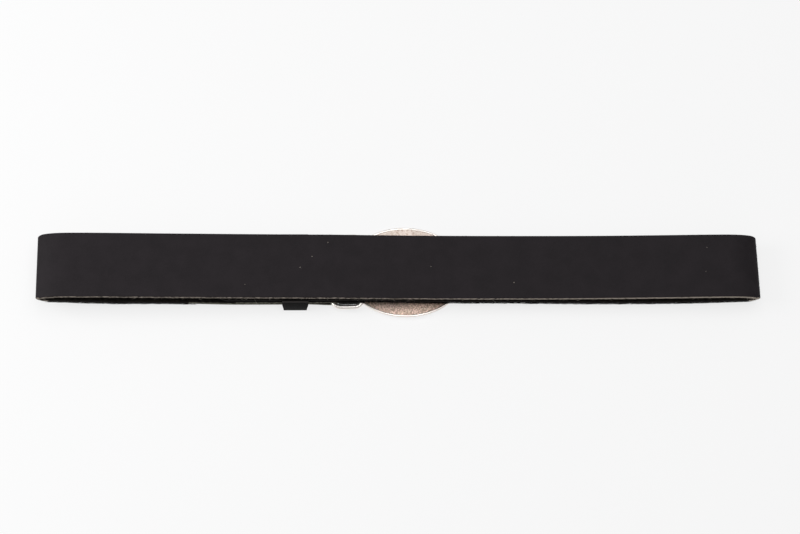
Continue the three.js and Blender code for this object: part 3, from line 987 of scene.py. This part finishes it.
def make_plate():
    """A turned dish drawn out along the strap to the oval's length, with a raised round rim."""
    low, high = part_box("buckle_plate")
    half_width = high.y
    half_length = (high.x - low.x) / 2
    centre = (high.x + low.x) / 2
    flat = 0.012
    rise = 0.0016
    thick = 0.0017
    rim_top = 0.00325
    rim_width = 0.0018
    lip = 0.0006
    bright_rim = 0.0012
    towards_far_edge = 0.0003
    hub = 0.0015
    back_hub = 0.0012
    rings = 26
    arc_points = 6
    around = 224
    facing_up = 0.3

    def front(r):
        return rise * max(0.0, (r - flat) / (half_width - flat)) ** 2

    profile = [(0, 0)]
    profile += [(r, front(r)) for r in np.linspace(hub, half_width - lip, rings)]
    for centre_z, first, skipped in ((front(half_width) + lip, -90, 1), (rim_top - lip, 0, 0)):
        for angle in np.radians(np.linspace(first, first + 90, arc_points)[skipped:]):
            r = half_width - lip + lip * math.cos(angle)
            profile.append((r, centre_z + lip * math.sin(angle)))
    back = half_width - rim_width
    for share in np.linspace(0.15, 0.85, 5):
        ease = share * share * (3 - 2 * share)
        r = half_width - lip - (rim_width - lip) * share
        profile.append((r, rim_top + (front(back) + thick - rim_top) * ease))
    profile += [(r, front(r) + thick) for r in np.linspace(back, back_hub, rings * 2)]
    profile.append((0, thick))
    bm = spun(profile, steps=around)
    extra = half_length - half_width
    for v in bm.verts:
        r = math.hypot(v.co.x, v.co.y)
        on_back = v.co.z > front(r) + thick - 1e-5 and r < half_width - lip
        v.co.x *= (max(flat, r) + extra) / max(flat, r)
        if on_back:
            small_lumps = 0.00010 * noise.noise(v.co * 900)
            broad_lumps = 0.00008 * noise.noise(v.co * 350)
            v.co.z += small_lumps + broad_lumps
        v.co.x += centre
        v.co.y += towards_far_edge
    bm.normal_update()
    for face in bm.faces:
        middle = face.calc_center_median()
        r = math.hypot((middle.x - centre) * half_width / half_length, middle.y - towards_far_edge)
        rough = face.normal.z > facing_up and r < half_width - bright_rim
        face.material_index = 0 if rough else 1
    plate = place("buckle_plate_oval", bm, rough_silver, bright_silver)
    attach(plate, "root")
    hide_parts("buckle_plate")


make_plate()

WIRE = 0.0024


def make_hinge_tube():
    """The tube that the ring hangs in, with the foot that it is cast on."""
    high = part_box("buckle_ring")[1]
    x = high.x - WIRE / 2
    z = high.z - WIRE / 2
    outer = 0.0022
    bore = 0.00145
    half = 0.012
    lip = 0.0003
    foot_size = (0.003, 0.022)
    foot_low = 0.0015
    foot_high = z - bore
    profile = [
        (bore, -half + lip), (bore + lip, -half), (outer - lip, -half), (outer, -half + lip),
        (outer, half - lip), (outer - lip, half), (bore + lip, half), (bore, half - lip),
        (bore, -half + lip),
    ]
    bm = spun(profile, steps=40)
    bmesh.ops.rotate(bm, verts=bm.verts, matrix=Matrix.Rotation(math.pi / 2, 3, "X"))
    bmesh.ops.translate(bm, verts=bm.verts, vec=(x, 0, z))
    foot = bmesh.ops.create_cube(bm, size=1)["verts"]
    bmesh.ops.scale(bm, verts=foot, vec=(*foot_size, foot_high - foot_low))
    bmesh.ops.translate(bm, verts=foot, vec=(x, 0, (foot_low + foot_high) / 2))
    corners = [e for e in bm.edges if e.verts[0] in foot and e.verts[1] in foot]
    round_off(bm, corners, radius=0.0004, segments=2)
    tube = place("hinge_tube", bm, bright_silver)
    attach(tube, "root")


def make_hook():
    """The cast tongue that stands through a hole of the tail and leans towards the ring."""
    low = 0.0015
    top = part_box("buckle_plate")[1].z
    wide = 0.0032
    outline = [
        (0.0015, low), (0.0015, top - 0.0013), (0.0011, top - 0.0004), (0.0002, top),
        (-0.0034, top), (-0.0041, top - 0.0008), (-0.0034, top - 0.0016), (-0.0015, top - 0.0016),
        (-0.0015, low),
    ]
    bm = bmesh.new()
    verts = [bm.verts.new((HOOK_X + x, -wide / 2, z)) for x, z in outline]
    side = bm.faces.new(verts)
    grown = bmesh.ops.extrude_face_region(bm, geom=[side])["geom"]
    moved = [v for v in grown if isinstance(v, bmesh.types.BMVert)]
    bmesh.ops.translate(bm, verts=moved, vec=(0, wide, 0))
    bmesh.ops.recalc_face_normals(bm, faces=bm.faces)
    round_off(bm, sharp_edges(bm), radius=0.0004, segments=2)
    hook = place("hook_tongue", bm, bright_silver)
    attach(hook, "root")


make_hinge_tube()
make_hook()


# The ring
# One length of bright plated steel wire bent into a rounded rectangle. It turns in the plate's tube
# and lies in the fold of the strap, which hangs on its other long bar.
# The wire has no pits, so the painted light barely shows on it, but it still gets the painted
# duller silver towards the far edge.
plated_wire = cast_metal(
    "plated wire", (0.98, 0.94, 0.90), dark=(0.7, 0.63, 0.57), roughness=0.36, pits=0.0,
)


def ring_route(long, half, tube_corner, strap_corner, across):
    """The wire's middle line laid flat: its tube bar at X = 0, the other bar at X = -long."""
    corner_points = 13
    route = []
    for x, side, along, start in (
        (-tube_corner, 1, tube_corner, 0),
        (strap_corner - long, 1, strap_corner, 90),
        (strap_corner - long, -1, strap_corner, 180),
        (-tube_corner, -1, tube_corner, 270),
    ):
        for angle in np.radians(np.linspace(start, start + 90, corner_points)):
            y = side * (half - across) + across * math.sin(angle)
            route.append((x + along * math.cos(angle), y))
    return route


def make_ring():
    """The ring's wire, a little thicker than its solid, between the same two bars."""
    low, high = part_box("buckle_ring")
    tube_x, tube_z = high.x - WIRE / 2, high.z - WIRE / 2
    bar_x, bar_z = low.x + WIRE / 2, low.z + WIRE / 2
    long = math.hypot(tube_x - bar_x, tube_z - bar_z)
    slope = math.atan2(tube_z - bar_z, tube_x - bar_x)
    thick = 0.0028
    wire = bpy.data.curves.new("ring_route", "CURVE")
    wire.dimensions = "3D"
    wire.bevel_depth = thick / 2
    wire.bevel_resolution = 6
    route = ring_route(
        long, high.y - thick / 2, tube_corner=0.0035, strap_corner=0.006, across=0.0032,
    )
    spline = wire.splines.new("POLY")
    spline.points.add(len(route) - 1)
    spline.use_cyclic_u = True
    for point, (x, y) in zip(spline.points, route):
        point.co = (tube_x + x * math.cos(slope), y, tube_z + x * math.sin(slope), 1)
    drawn = bpy.data.objects.new("ring_route", wire)
    bm = bmesh.new()
    bm.from_mesh(drawn.to_mesh())
    drawn.to_mesh_clear()
    bpy.data.objects.remove(drawn)
    ring = place("buckle_ring_wire", bm, plated_wire)
    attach(ring, "root")
    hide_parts("buckle_ring")


make_ring()
